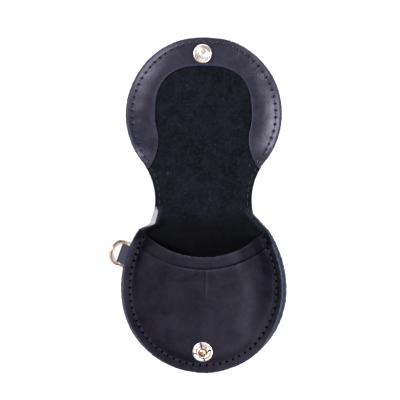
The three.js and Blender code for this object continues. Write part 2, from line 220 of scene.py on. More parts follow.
def front(x, y, h):
    """A face of the front, h above the back's inner face where they are sewn together."""
    x, y = np.asarray(x, float), np.asarray(y, float)
    inward = from_edge(x, y)
    crease = crease_at(x, y)
    width = 4 + 16 * smooth((y + 36) / 32)
    rise = 1 - (1 - np.clip((inward - crease) / width, 0, 1)) ** 2.3
    foot = margin(x, y, h)
    thin = (H_OUTER_TOP - h) * 1.1
    body = crown(y) - thin
    waves = 0.16 * ripple(x, y, 11, 42) * smooth((inward - crease) / 8)
    return foot * (1 - rise) + body * rise + waves * smooth((y + 24) / 12)


# ---- cut edges as rays from the pivot; the angle runs from +Y towards +X ----
def ray_point(angle, reach):
    return reach * np.sin(angle), PIVOT_Y + reach * np.cos(angle)


def ray_to_circle(angle, cx, cy, r):
    dx, dy = cx, cy - PIVOT_Y
    along = dx * np.sin(angle) + dy * np.cos(angle)
    return along + np.sqrt(np.maximum(along ** 2 - dx ** 2 - dy ** 2 + r ** 2, 0))


def outline(angle):
    """Reach of the pouch's outline."""
    side = np.where(np.sin(angle) >= 0, 1.0, -1.0)
    lower = ray_to_circle(angle, 0.0, 0.0, POUCH_R)
    upper = ray_to_circle(angle, -side * SIDE_X, SIDE_Y, SIDE_R)
    return np.where(PIVOT_Y + lower * np.cos(angle) < SIDE_Y / 2, lower, upper)


def hollow_edge(angle, cy, r):
    """Reach of a hollow's near side. Rays that miss the hollow get a growing reach instead."""
    dy = cy - PIVOT_Y
    along = dy * np.cos(angle)
    under = along ** 2 - dy ** 2 + r ** 2
    reach = along - np.sqrt(np.maximum(under, 0)) + 2 * np.sqrt(np.maximum(-under, 0))
    return np.where(np.cos(angle) > 0, reach, 1e3)


def ragged(angle, seed, size):
    """An uneven cut: fine notches of the given size on a longer wander."""
    wander = 0.16 * ripple(40 * np.sin(angle), 40 * np.cos(angle), 21, 30, 1)
    return size * ripple(90 * np.sin(angle), 90 * np.cos(angle), seed, 5, 3) + wander


def inset(angle, h):
    """Reach of the outline on a face at height h."""
    x, y = ray_point(angle, outline(angle))
    return outline(angle) - setback(x, y, h)


def inner_edge(h):
    def edge(angle):
        mouth = hollow_edge(angle, MOUTH_Y, MOUTH_R) + ragged(angle, 5, 0.12)
        return [inset(angle, h) + ragged(angle, 6, 0.10), mouth]
    return edge


def outer_edge(h):
    def edge(angle):
        pocket = hollow_edge(angle, POCKET_Y, POCKET_R) + ragged(angle, 8, 0.05)
        return [inset(angle, h) + ragged(angle, 9, 0.10), pocket]
    return edge


def back_edge(h):
    def edge(angle):
        cos = np.maximum(np.cos(angle), 1e-6)
        straight = np.where(np.cos(angle) > 0, (POUCH_END + ROUND - PIVOT_Y) / cos, 1e3)
        return [inset(angle, h) + ragged(angle, 10, 0.10), straight]
    return edge


# ---- meshes ----
def new_object(name, points, faces, mats, indices=None, smooth_angle=50):
    """A mesh object from points in mm. It keeps its rest place, in mm, for the materials."""
    points = np.asarray(points, float)
    mesh = bpy.data.meshes.new(name)
    mesh.from_pydata((points * MM).tolist(), [], [list(map(int, f)) for f in faces])
    for mat in mats:
        mesh.materials.append(mat)
    if indices is not None:
        mesh.polygons.foreach_set("material_index", np.asarray(indices, np.int32))
    solid = bmesh.new()
    solid.from_mesh(mesh)
    bmesh.ops.recalc_face_normals(solid, faces=solid.faces)
    solid.to_mesh(mesh)
    solid.free()
    mesh.polygons.foreach_set("use_smooth", [True] * len(mesh.polygons))
    mesh.set_sharp_from_angle(angle=math.radians(smooth_angle))
    rest = mesh.attributes.new("rest", "FLOAT_VECTOR", "POINT")
    rest.data.foreach_set("vector", points.astype(np.float32).ravel())
    obj = bpy.data.objects.new(name, mesh)
    bpy.context.scene.collection.objects.link(obj)
    return obj


def set_float(obj, name, values):
    attribute = obj.data.attributes.new(name, "FLOAT", "POINT")
    attribute.data.foreach_set("value", np.asarray(values, np.float32))


EDGE_ROWS = np.concatenate([[0, 0.12, 0.35, 0.7, 1.1, 1.4], np.arange(1.6, 5.3, 0.25),
                            5.2 + 0.35 * 1.13 ** np.arange(1, 13) * np.arange(1, 13)])
CORNER_DEG = 33.5                       # ray through the corners of the front
COLUMNS = 960                           # rays at the rim of a layer
COARSE = 3                              # the middle has one column for every three at the rim
RINGS = 26                              # steps from the rim's rows to the centre
RIM_ROWS = 3                            # rows of faces across a cut edge


def edge_drop(inward):
    """How far a face falls at its rounded edge."""
    gap = np.clip(ROUND - inward, 0, ROUND)
    return ROUND - np.sqrt(np.maximum(ROUND ** 2 - gap ** 2, 0))


def wear_at(inward):
    """How rubbed the leather is, by distance from its cut edge."""
    return np.exp(-(np.asarray(inward) / 1.3) ** 2)


def soft_min(curves, width):
    """The least of several curves, rounded off where two of them cross."""
    least = curves[0]
    for other in curves[1:]:
        gap = np.maximum(width - np.abs(least - other), 0) / max(width, 1e-6)
        least = np.minimum(least, other) - gap ** 2 * width / 4
    return least


def ring_quads(first, second):
    """Faces between two closed rows of point numbers."""
    return np.stack([first, np.roll(first, -1), np.roll(second, -1), second], -1).tolist()


def ray_angles(columns):
    """Angles of the rays, closer together towards the two corners of the front."""
    fine = np.linspace(0, 2 * math.pi, 7201)
    degrees = np.degrees(fine)
    density = 1 + 5 * (bump(degrees, CORNER_DEG, 8) + bump(degrees, -CORNER_DEG, 8))
    total = np.concatenate([[0], np.cumsum(density[1:] + density[:-1])])
    return np.interp(np.linspace(0, total[-1], columns, endpoint=False), total, fine)


def round_layer(name, mats, edges, heights, centre_y=PIVOT_Y):
    """A closed layer of leather drawn as rays from a centre. edges and heights are for the
    lower and the upper face. Material 0 is the upper face, 1 the lower and 2 the cut edge."""
    angles = ray_angles(COLUMNS)
    sin, cos = np.sin(angles), np.cos(angles)
    points, faces, indices, wear, rims = [], [], [], [], []
    for face, (edge, height) in enumerate(zip(edges, heights)):
        curves = edge(angles)
        rows = [soft_min([curve - d for curve in curves], 1.2 * d) for d in EDGE_ROWS]
        fine = np.maximum(np.array(rows), rows[0][None, :] * 0.3)
        x, y = fine * sin, centre_y + fine * cos
        drop = edge_drop(EDGE_ROWS)[:, None]
        z = height(x, y) + (drop if face == 0 else -drop)
        start = len(points)
        points += np.stack([x, y, z], -1).reshape(-1, 3).tolist()
        shares = 1 - np.arange(1, RINGS) / RINGS
        inner = fine[-1][::COARSE]
        x = shares[:, None] * inner * sin[::COARSE]
        y = centre_y + shares[:, None] * inner * cos[::COARSE]
        middle = len(points)
        points += np.stack([x, y, height(x, y)], -1).reshape(-1, 3).tolist()
        hub = len(points)
        points.append([0, centre_y, float(height(np.array([0.0]), np.array([centre_y]))[0])])
        wear += np.repeat(wear_at(EDGE_ROWS), COLUMNS).tolist() + [0.0] * (hub + 1 - middle)

        count = len(faces)
        fine_rows = start + np.arange(fine.size).reshape(fine.shape)
        for outer_row, inner_row in zip(fine_rows[:-1], fine_rows[1:]):
            faces += ring_quads(outer_row, inner_row)
        m = COLUMNS // COARSE
        last = fine_rows[-1]
        for k in range(m):
            near, far = middle + k, middle + (k + 1) % m
            a, b, c, d = [int(last[(k * COARSE + q) % COLUMNS]) for q in range(4)]
            faces += [(a, b, near), (b, c, far, near), (c, d, far)]
        coarse_rows = middle + np.arange((RINGS - 1) * m).reshape(RINGS - 1, m)
        for outer_row, inner_row in zip(coarse_rows[:-1], coarse_rows[1:]):
            faces += ring_quads(outer_row, inner_row)
        last = coarse_rows[-1]
        faces += [(int(i), int(j), hub) for i, j in zip(last, np.roll(last, -1))]
        indices += [1 - face] * (len(faces) - count)
        rims.append(fine_rows[0])
    add_rim(points, faces, indices, rims[0], rims[1])
    obj = new_object(name, points, faces, mats, indices)
    mark_rim(obj, wear, len(points))
    return obj


def add_rim(points, faces, indices, low, high):
    """The cut edge between two closed rows of points."""
    low_points = np.array([points[i] for i in low])
    high_points = np.array([points[i] for i in high])
    previous = np.asarray(low)
    for r in range(1, RIM_ROWS + 1):
        here = np.asarray(high)
        if r < RIM_ROWS:
            share = r / RIM_ROWS
            here = np.arange(len(points), len(points) + len(low))
            points.extend((low_points * (1 - share) + high_points * share).tolist())
        quads = ring_quads(previous, here)
        faces.extend(quads)
        indices.extend([2] * len(quads))
        previous = here


def mark_rim(obj, wear, count):
    """wear for the faces' points; the rest are the middle of the cut edge."""
    rest = count - len(wear)
    set_float(obj, "wear", wear + [1.0] * rest)
    set_float(obj, "middle", [0.0] * len(wear) + [1.0] * rest)


def strip_layer(name, mats, low, high, inward):
    """A closed sheet from two grids of points, rows by columns, with cut edges all round.
    inward is the distance of each grid point from a visible cut edge."""
    rows, columns = high.shape[:2]
    points = low.reshape(-1, 3).tolist() + high.reshape(-1, 3).tolist()
    faces, indices = [], []
    size = rows * columns
    grid = np.arange(size).reshape(rows, columns)
    for base, mat in ((0, 1), (size, 0)):
        g = grid + base
        quads = np.stack([g[:-1, :-1], g[:-1, 1:], g[1:, 1:], g[1:, :-1]], -1).reshape(-1, 4)
        faces += quads.tolist()
        indices += [mat] * len(quads)
    loop = np.concatenate([grid[0, :-1], grid[:-1, -1], grid[-1, :0:-1], grid[:0:-1, 0]])
    add_rim(points, faces, indices, loop, loop + size)
    obj = new_object(name, points, faces, mats, indices)
    mark_rim(obj, np.tile(wear_at(inward).ravel(), 2).tolist(), len(points))
    return obj


# ---- sewing: holes along a line, and the thread between them ----
def walk(path, pitch):
    """Points at an even pitch along a list of plan points."""
    path = np.asarray(path, float)
    lengths = np.concatenate([[0], np.cumsum(np.hypot(*np.diff(path, axis=0).T))])
    count = max(1, round(lengths[-1] / pitch))
    at = np.linspace(0, lengths[-1], count + 1)
    return np.stack([np.interp(at, lengths, path[:, 0]), np.interp(at, lengths, path[:, 1])], -1)


def nearest(x, y, spots):
    """Distance to the nearest of some plan points."""
    shape = np.shape(x)
    x, y = np.ravel(x), np.ravel(y)
    best = np.full(x.shape, 1e9)
    for sx, sy in spots:
        best = np.minimum(best, (x - sx) ** 2 + (y - sy) ** 2)
    return np.sqrt(best).reshape(shape)


def distance_to_path(x, y, path):
    shape = np.shape(x)
    x, y = np.ravel(x), np.ravel(y)
    best = np.full(x.shape, 1e9)
    for (ax, ay), (bx, by) in zip(path[:-1], path[1:]):
        dx, dy = bx - ax, by - ay
        t = np.clip(((x - ax) * dx + (y - ay) * dy) / (dx * dx + dy * dy + 1e-12), 0, 1)
        best = np.minimum(best, (x - ax - t * dx) ** 2 + (y - ay - t * dy) ** 2)
    return np.sqrt(best).reshape(shape)


def sewn(height, holes, side=1, groove=0.16, depth=0.6):
    """The height of a face pulled in along a seam, with a dimple at each hole."""
    groove_half, dimple_half = 0.75, 0.5

    def face(x, y):
        line = distance_to_path(x, y, holes) / groove_half
        spot = nearest(x, y, holes) / dimple_half
        pull = groove * np.exp(-line ** 2) + depth * np.exp(-spot ** 2)
        return height(x, y) - side * pull
    return face


def pouch_line(h, from_deg, to_deg):
    """Plan points of the stitch line on the face at height h, by ray angle in degrees."""
    angle = np.radians(np.linspace(from_deg, to_deg, 240))
    ox, oy = ray_point(angle, outline(angle))
    step = 1e-3
    ax, ay = ray_point(angle + step, outline(angle + step))
    bx, by = ray_point(angle - step, outline(angle - step))
    tx, ty = ax - bx, ay - by
    length = np.hypot(tx, ty)
    nx, ny = -ty / length, tx / length
    flip = np.sign(nx * ox + ny * (oy - PIVOT_Y))
    inward = setback(ox, oy, h) + SEAM * np.cos(lean(ox, oy))
    return np.stack([ox - flip * nx * inward, oy - flip * ny * inward], -1)


def thread(name, holes, height, mat, radius=0.24, side=1):
    """One stitch from each hole to the next, lying proud of the face and diving at its ends."""
    sides, steps = 8, 9
    points, faces = [], []
    for (ax, ay), (bx, by) in zip(holes[:-1], holes[1:]):
        t = np.linspace(0.15, 0.85, steps)
        x, y = ax + (bx - ax) * t, ay + (by - ay) * t
        arch = np.sin(math.pi * (t - 0.11) / 0.78) ** 0.45
        z = height(x, y) + side * (radius * 0.55 * arch - 0.35 * (1 - arch))
        along = np.array([bx - ax, by - ay, 0.0])
        along /= np.linalg.norm(along)
        across = np.array([along[1], -along[0], 0.0])
        base = len(points)
        for k in range(steps):
            fat = radius * (0.72 + 0.28 * math.sin(math.pi * t[k]))
            for s in range(sides):
                turn = 2 * math.pi * s / sides
                offset = across * math.cos(turn) * fat + UP * math.sin(turn) * fat * 0.8
                points.append((np.array([x[k], y[k], z[k]]) + offset).tolist())
        for k in range(steps - 1):
            a, b = base + k * sides, base + (k + 1) * sides
            faces += [(a + s, a + (s + 1) % sides, b + (s + 1) % sides, b + s) for s in range(sides)]
        faces.append(tuple(base + s for s in range(sides)))
        faces.append(tuple(base + (steps - 1) * sides + s for s in range(sides)))
    return new_object(name, points, faces, [mat])


# ---- materials ----
class Nodes:
    """A short way to write a material's node tree."""

    def __init__(self, name):
        self.mat = bpy.data.materials.new(name)
        self.mat.use_nodes = True
        self.tree = self.mat.node_tree
        self.tree.nodes.clear()
        out = self.tree.nodes.new("ShaderNodeOutputMaterial")
        self.shader = self.tree.nodes.new("ShaderNodeBsdfPrincipled")
        self.tree.links.new(self.shader.outputs[0], out.inputs["Surface"])

    def node(self, kind, inputs=None, **settings):
        node = self.tree.nodes.new(kind)
        for key, value in settings.items():
            setattr(node, key, value)
        for key, value in (inputs or {}).items():
            self.plug(node.inputs[key], value)
        return node

    def plug(self, socket, value):
        if isinstance(value, bpy.types.NodeSocket):
            self.tree.links.new(value, socket)
        else:
            socket.default_value = value

    def rest(self):
        """The rest place of a point, in mm."""
        return self.node("ShaderNodeAttribute", attribute_name="rest").outputs["Vector"]

    def noise(self, scale, detail=3.0, rough=0.55, distortion=0.0):
        """Noise with features of about 1/scale mm."""
        return self.node("ShaderNodeTexNoise",
                         {"Vector": self.rest(), "Scale": scale, "Detail": detail,
                          "Roughness": rough, "Distortion": distortion}).outputs["Fac"]

    def cells(self, scale):
        """Distance from the middles of scattered cells about 1/scale mm across."""
        node = self.node("ShaderNodeTexVoronoi",
                         {"Vector": self.rest(), "Scale": scale, "Randomness": 1.0}, feature="F1")
        return node.outputs["Distance"]

    def span(self, value, low, high, to_low=0.0, to_high=1.0):
        return self.node("ShaderNodeMapRange",
                         {"Value": value, "From Min": low, "From Max": high,
                          "To Min": to_low, "To Max": to_high}).outputs[0]

    def maths(self, operation, a, b):
        return self.node("ShaderNodeMath", {0: a, 1: b}, operation=operation).outputs[0]

    def mix(self, share, a, b):
        node = self.node("ShaderNodeMix", data_type="RGBA")
        self.plug(node.inputs[0], share)
        self.plug(node.inputs[6], a)
        self.plug(node.inputs[7], b)
        return node.outputs[2]

    def attribute(self, name):
        return self.node("ShaderNodeAttribute", attribute_name=name).outputs["Fac"]

    def bumps(self, *layers):
        """layers are (height, distance in mm) pairs, laid over each other."""
        normal = None
        for height, distance in layers:
            node = self.node("ShaderNodeBump", {"Height": height, "Distance": distance * MM,
                                                "Strength": 1.0})
            if normal is not None:
                self.plug(node.inputs["Normal"], normal)
            normal = node.outputs["Normal"]
        self.plug(self.shader.inputs["Normal"], normal)

    def set(self, **values):
        for key, value in values.items():
            self.plug(self.shader.inputs[key.replace("_", " ")], value)


def srgb(r, g, b):
    """A colour given in 0 to 255 display values."""
    def linear(v):
        v /= 255
        return v / 12.92 if v <= 0.04045 else ((v + 0.055) / 1.055) ** 2.4
    return (linear(r), linear(g), linear(b), 1.0)


def smooth_leather(name, dark, light, rough=(0.42, 0.6), gloss=0.2, grain=1.0):
    n = Nodes(name)
    cloud = n.span(n.noise(0.07, 5.0, 0.68, 0.8), 0.36, 0.66)
    pores = n.cells(1.9)
    fine = n.noise(2.6, 4.0, 0.7)
    colour = n.mix(cloud, dark, light)
    colour = n.mix(n.span(n.noise(0.5, 5.0, 0.7, 1.0), 0.5, 0.7, 0.0, 0.35), colour, light)
    colour = n.mix(n.span(pores, 0.0, 0.35, 0.3, 0.0), colour, srgb(4, 4, 7))
    rubbed = n.maths("MULTIPLY", n.attribute("wear"), n.span(n.noise(2.4, 3.0, 0.7), 0.5, 0.62))
    colour = n.mix(n.maths("MULTIPLY", rubbed, 0.45), colour, srgb(64, 67, 84))
    colour = n.mix(n.span(n.cells(0.22), 0.04, 0.02, 0.0, 0.35), colour, srgb(120, 100, 84))
    # painted shade: the stitch holes are darkened to near black, and their gloss is taken away
    hole = n.attribute("hole")
    colour = n.mix(n.span(hole, 0.1, 0.6), colour, srgb(1, 1, 2))
    n.set(Base_Color=colour, Specular_Tint=(0.84, 0.8, 1.0, 1.0),
          Specular_IOR_Level=n.span(hole, 0.05, 0.4, gloss, 0.0))
    n.set(Roughness=n.span(n.maths("ADD", n.noise(0.3, 3.0), fine), 0.7, 1.3, *rough))
    n.bumps((n.noise(0.35, 3.0, 0.5), 0.10 * grain), (pores, 0.05 * grain), (fine, 0.035 * grain))
    return n.mat


def suede_leather():
    n = Nodes("suede_side")
    nap = n.noise(0.75, 6.0, 0.8, 0.6)
    patch = n.span(n.noise(0.12, 5.0, 0.65, 0.8), 0.4, 0.68)
    tone = n.mix(patch, srgb(2, 3, 7), srgb(12, 15, 22))
    tone = n.mix(n.span(nap, 0.5, 0.68, 0.0, 0.9), tone, srgb(20, 23, 32))
    tone = n.mix(n.span(nap, 0.5, 0.3, 0.0, 0.8), tone, srgb(1, 2, 5))
    tone = n.mix(n.span(n.cells(0.17), 0.055, 0.035, 0.0, 0.6), tone, srgb(104, 82, 60))
    tone = n.mix(n.span(n.cells(0.36), 0.1, 0.06, 0.0, 0.3), tone, srgb(66, 66, 72))
    # painted light: the shoulders' suede walls are lightened as if lit
    tone = n.mix(n.attribute("wall"), tone, srgb(25, 32, 42))
    # painted shade: the pocket inside the mouth is darkened to near black
    tone = n.mix(n.attribute("painted_pocket_shade"), tone, srgb(1, 1, 3))
    # painted shade: the stitch holes are darkened to near black
    tone = n.mix(n.span(n.attribute("hole"), 0.1, 0.8, 0.0, 0.9), tone, srgb(2, 2, 3))
    n.set(Base_Color=tone, Roughness=0.95, Specular_IOR_Level=0.08, Sheen_Weight=0.02,
          Sheen_Roughness=0.5)
    n.bumps((nap, 0.22), (n.noise(5.0, 3.0, 0.7), 0.1))
    return n.mat


def cut_edge():
    n = Nodes("cut_edge")
    fibres = n.noise(2.4, 5.0, 0.7, 0.6)
    tone = n.mix(n.span(fibres, 0.38, 0.6), srgb(14, 17, 26), srgb(62, 72, 96))
    tone = n.mix(n.span(n.attribute("middle"), 0.2, 1.0), srgb(4, 5, 9), tone)
    tone = n.mix(n.attribute("pale"), tone, srgb(142, 135, 146))
    n.set(Base_Color=tone, Roughness=0.7, Specular_IOR_Level=0.2)
    n.bumps((fibres, 0.14), (n.noise(7.0, 3.0), 0.05))
    return n.mat


def thread_material():
    n = Nodes("sewing_thread")
    twist = n.noise(6.0, 2.0, 0.5, 1.5)
    tone = n.mix(n.span(twist, 0.4, 0.6), srgb(8, 8, 13), srgb(26, 25, 34))
    n.set(Base_Color=tone, Roughness=0.6, Specular_IOR_Level=0.25)
    n.bumps((twist, 0.06))
    return n.mat


def plated_metal(name, bright, dull, rough, metallic=0.9):
    n = Nodes(name)
    scuffs = n.noise(3.5, 5.0, 0.7, 0.3)
    tone = n.mix(n.span(n.noise(0.4, 2.0), 0.35, 0.65), bright, dull)
    n.set(Base_Color=tone, Metallic=metallic, Roughness=n.span(scuffs, 0.35, 0.7, *rough))
    n.bumps((scuffs, 0.004))
    return n.mat


FRONT_LEATHER = smooth_leather("front_leather", srgb(5, 4, 10), srgb(21, 19, 28), gloss=0.11)
BAND_LEATHER = smooth_leather("band_leather", srgb(4, 3, 8), srgb(22, 20, 29), gloss=0.11)
FACING_LEATHER = smooth_leather("facing_leather", srgb(16, 14, 26), srgb(26, 24, 36),
                                (0.27, 0.4), 0.32, 0.6)
OUTER_GRAIN = smooth_leather("outer_grain", srgb(12, 11, 18), srgb(22, 20, 29), gloss=0.15)
TAB_LEATHER = smooth_leather("tab_leather", srgb(26, 26, 36), srgb(38, 38, 50), (0.5, 0.65))
SUEDE = suede_leather()
EDGE = cut_edge()
THREAD = thread_material()
NICKEL = plated_metal("nickel_plate", srgb(216, 208, 206), srgb(196, 184, 180), (0.26, 0.34),
                      0.85)
BRASS = plated_metal("worn_brass", srgb(226, 190, 150), srgb(150, 112, 78), (0.25, 0.4))
RING_METAL = plated_metal("warm_nickel", srgb(170, 144, 127), srgb(116, 94, 81), (0.3, 0.36))


def plan_of(obj):
    """The x and y of a mesh's points, in mm."""
    places = np.zeros(len(obj.data.vertices) * 3)
    obj.data.vertices.foreach_get("co", places)
    return places[0::3] / MM, places[1::3] / MM


def bare_shoulder(x, y):
    """1 where the left shoulder shows its cut edge, and 0 away from there."""
    return (x < 0) * smooth((y - 31.5) / 3) * (1 - smooth((y - 40) / 4))


def mark_hole_shade(obj, holes, size=0.55):
    x, y = plan_of(obj)
    # the hole mark, used for painted shade that darkens each stitch hole
    set_float(obj, "hole", np.exp(-(nearest(x, y, holes) / size) ** 4))


def mark_suede(obj):
    """The bare edge of the left shoulder, painted light on the walls of both and painted shade in the
    pocket between.
    """
    x, y = plan_of(obj)
    inward = neck_half(y, np.sign(x)) - np.abs(x)
    set_float(obj, "pale", bare_shoulder(x, y))
    # painted light: the suede walls of the shoulders are lightened as if lit, more on the left
    wall = (1 - smooth((inward - 3.6) / 0.8)) * smooth((y - 24) / 4) * (1 - smooth((y - 39) / 5))
    set_float(obj, "wall", wall * np.where(x < 0, 1.0, 0.6))
    # painted shade: the pocket inside the mouth is darkened towards black
    painted_pocket_shade = smooth((inward - 3.8) / 0.8) * (1 - smooth((y - 31) / 12))
    set_float(obj, "painted_pocket_shade", 0.8 * painted_pocket_shade)


# ---- pouch ----
def ray_degrees(x, y):
    return math.degrees(math.atan2(x, y - PIVOT_Y))


FRONT_SEAM_DEG = ray_degrees(*FRONT_CORNER) + 2.5   # clear of the corner
POCKET_DEG = ray_degrees(*POCKET_CORNER)


def pouch_pieces():
    outer_holes = walk(pouch_line(H_OUTER_TOP, POCKET_DEG + 1.5, 360 - POCKET_DEG - 1.5), STITCH)
    band_right = walk(pouch_line(H_INNER_TOP, FRONT_SEAM_DEG, POCKET_DEG - 1.0), STITCH)
    band_left = walk(pouch_line(H_INNER_TOP, 360 - FRONT_SEAM_DEG, 361 - POCKET_DEG), STITCH)
    back_holes = walk(pouch_line(-BACK_T, FRONT_SEAM_DEG, 360 - FRONT_SEAM_DEG), STITCH)
    band_holes = np.concatenate([band_left, band_right])

    def outer_top(x, y):
        pocket = np.hypot(x, y - POCKET_Y) - POCKET_R
        stand = 0.35 * (1 - smooth(pocket / 7)) * smooth((from_edge(x, y) - 5) / 6)
        ridge = 0.16 * np.exp(-((x - 1.0 - 0.02 * y) / 0.6) ** 2) * smooth((y + 10) / 14)
        return front(x, y, H_OUTER_TOP) + stand + ridge

    def outer_low(x, y):
        return outer_top(x, y) - OUTER_T * steepness(lambda u, v: front(u, v, H_OUTER), x, y, 1.5)

    def inner_top(x, y):
        return front(x, y, H_INNER_TOP)

    def inner_low(x, y):
        return front(x, y, H_INNER)

    back = round_layer("back_leather", [SUEDE, OUTER_GRAIN, EDGE],
                       [back_edge(-BACK_T), back_edge(0)],
                       [sewn(back_bottom, back_holes, -1), back_top])
    mark_hole_shade(back, back_holes)
    mark_suede(back)
    inner = round_layer("inner_pocket_leather", [BAND_LEATHER, SUEDE, EDGE],
                        [inner_edge(H_INNER), inner_edge(H_INNER_TOP)],
                        [inner_low, sewn(inner_top, band_holes)])
    mark_hole_shade(inner, band_holes)
    outer = round_layer("outer_pocket_leather", [FRONT_LEATHER, SUEDE, EDGE],
                        [outer_edge(H_OUTER), outer_edge(H_OUTER_TOP)],
                        [outer_low, sewn(outer_top, outer_holes)])
    mark_hole_shade(outer, outer_holes)
    stitches = [
        thread("front_stitches", outer_holes, outer_top, THREAD),
        thread("band_stitches_left", band_left, inner_top, THREAD),
        thread("band_stitches_right", band_right, inner_top, THREAD),
        thread("back_stitches", back_holes, back_bottom, THREAD, side=-1),
    ]
    for piece in (back, inner, outer, *stitches):
        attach(piece, "pouch")
    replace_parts(back, "back_panel")
    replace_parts(inner, "front_inner_panel")
    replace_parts(outer, "front_outer_panel")
    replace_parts(stitches[0], "pouch_thread_front")
    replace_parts(stitches[3], "pouch_thread_back")


# ---- neck: the same leather, cut into strips at the hinge lines ----
def neck_sides(y):
    return -neck_half(y, -1), neck_half(y, 1)


def neck_line(side, from_y, to_y):
    y = np.linspace(from_y, to_y, 60)
    return np.stack([side * (neck_half(y, side) - NECK_SEAM), y], -1)


NECK_HOLES = {side: walk(neck_line(side, 34.0, 66.5), STITCH) for side in (-1, 1)}
ALL_NECK_HOLES = np.concatenate([NECK_HOLES[-1], NECK_HOLES[1]])


def leather_grid(from_y, to_y, top, bottom):
    """The lower and upper faces of one strip of the neck, and the distance from its edges."""
    rows, columns = 28, 150
    y = np.linspace(from_y, to_y, rows)
    left, right = neck_sides(y)
    t = np.linspace(0, 1, columns)
    t = 0.5 - 0.5 * np.cos(math.pi * t) * (1 - 0.25 * np.sin(math.pi * t) ** 2)
    x = left[:, None] + (right - left)[:, None] * t[None, :]
    y = np.repeat(y[:, None], columns, axis=1)
    inward = np.minimum(x - left[:, None], right[:, None] - x)
    side = np.sign(x)
    slope = np.clip(steepness(top, x, y) ** 2 - 1, 0, 4) ** 0.5
    tip = BACK_T * np.sin(np.arctan(slope)) * np.exp(-inward / 2.5)
    tip = tip * (1 + 1.1 * bare_shoulder(x, y))
    drop = edge_drop(inward)
    high = np.stack([x - side * tip, y, top(x, y) - drop], -1)
    low = np.stack([x, y, bottom(x, y) + drop], -1)
    return low, high, inward


def neck_pieces():
    ends = [POUCH_END] + [y + STRIP / 2 for y in HINGE_YS]
    top = sewn(back_top, ALL_NECK_HOLES, 1, 0.10, 0.35)
    bottom = sewn(back_bottom, ALL_NECK_HOLES, -1, 0.10, 0.35)
    for i, (a, b) in enumerate(zip(CHAIN[:-1], CHAIN[1:])):
        sheet = leather_grid(ends[i], ends[i + 1], top, bottom)
        piece = strip_layer(f"neck_leather_{i + 1}", [SUEDE, OUTER_GRAIN, EDGE], *sheet)
        mark_suede(piece)
        mark_hole_shade(piece, ALL_NECK_HOLES, 0.42)
        pieces = [piece]
        for side, word in ((-1, "left"), (1, "right")):
            holes = NECK_HOLES[side]
            keep = [k for k in range(len(holes) - 1)
                    if ends[i] <= (holes[k][1] + holes[k + 1][1]) / 2 < ends[i + 1]]
            run = holes[keep[0]:keep[-1] + 2]
            for face, height, way in (("in", back_top, 1), ("out", back_bottom, -1)):
                name = f"neck_stitches_{i + 1}_{word}_{face}"
                pieces.append(thread(name, run, height, THREAD, 0.25, way))
        for each in pieces:
            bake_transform(each)
        if i:
            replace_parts(piece, CHAIN[i])


# ---- flap ----
FLAP_START = HINGE_YS[-1] + STRIP / 2


def flap_edge_reach(angle):
    """Outline of the flap from its centre; the angle runs from +Y towards +X."""
    dx = np.abs(np.sin(angle))
    dy = np.cos(angle)
    px, py = NECK_X, NECK_Y - FLAP_Y
    along = px * dx + py * dy
    under = along ** 2 - px ** 2 - py ** 2 + NECK_R ** 2
    hit = (under > 0) & (along > 0)
    neck = np.where(hit, along - np.sqrt(np.maximum(under, 0)), 1e3)
    degrees = np.degrees(angle)
    round_end = FLAP_R + 0.5 * bump(degrees, 62, 52) - 0.35 * bump(degrees, 0, 14)
    return np.minimum(round_end, neck)


def flap_from_edge(x, y):
    angle = np.arctan2(x, y - FLAP_Y)
    return flap_edge_reach(angle) - np.hypot(x, y - FLAP_Y)


def flap_curl(x, y):
    angle = np.degrees(np.arctan2(y - FLAP_Y, x))
    right = bump(angle, 2, 52)
    left = bump(angle, 176, 58)
    fade = smooth((y - 63.8) / 12)
    return (0.3 + 2.4 * right + 2.4 * left) * fade, 13.0


def flap_top(x, y):
    height, width = flap_curl(x, y)
    rim = height * np.clip(1 - flap_from_edge(x, y) / width, 0, 1.1) ** 2
    waves = 0.12 * ripple(x, y, 3, 34)
    calm = smooth((np.hypot(x - SNAP_X, y - SOCKET_Y) - 6) / 8)
    return FLAP_Z + BACK_T + rim + waves * calm


def flap_bottom(x, y):
    return flap_top(x, y) - BACK_T * steepness(flap_top, x, y)


def facing_top(x, y):
    return flap_top(x, y) + FACING_T * steepness(flap_top, x, y)


def flap_setback(angle, h):
    reach = flap_edge_reach(angle)
    x, y = reach * np.sin(angle), FLAP_Y + reach * np.cos(angle)
    height, width = flap_curl(x, y)
    return (h + BACK_T) * np.sin(np.arctan(2 * height / width))


def flap_leather_edge(h):
    def edge(angle):
        cos = np.minimum(np.cos(angle), -1e-6)
        straight = np.where(np.cos(angle) < 0, (FLAP_START - ROUND - FLAP_Y) / cos, 1e3)
        return [flap_edge_reach(angle) - flap_setback(angle, h) + ragged(angle, 14, 0.05),
                straight]
    return edge


def window_reach():
    """Inner edge of the facing as angles and reaches from the flap's centre: a squarish arch
    over the top, then a line in past the waist and out to the facing's tip."""
    half, up, power = 24.8, 25.0, 2.65
    turn = np.linspace(0, math.pi / 2, 60)
    x = half * np.sin(turn) ** (2 / power)
    y = up * np.cos(turn) ** (2 / power)
    side = np.array([[24.75, -3.0], [24.4, -6.0], [23.5, -9.0], [23.2, -12.0], [23.3, -15.5],
                     [24.0, -19.0], [25.3, -22.8], [27.0, -26.0], [28.9, -28.4]])
    x, y = np.concatenate([x, side[:, 0]]), np.concatenate([y, side[:, 1]])
    return np.arctan2(x, y), np.hypot(x, y)


WINDOW = window_reach()
TIP_ANGLE = float(WINDOW[0][-1])


def flap_line():
    """Stitch line round the flap, from the right tip over the top to the left one."""
    last = 2.28
    angle = np.linspace(last, -last, 220)
    reach = flap_edge_reach(angle) - FLAP_SEAM - flap_setback(angle, FACING_T) * 0.8
    return np.stack([reach * np.sin(angle), FLAP_Y + reach * np.cos(angle)], -1)


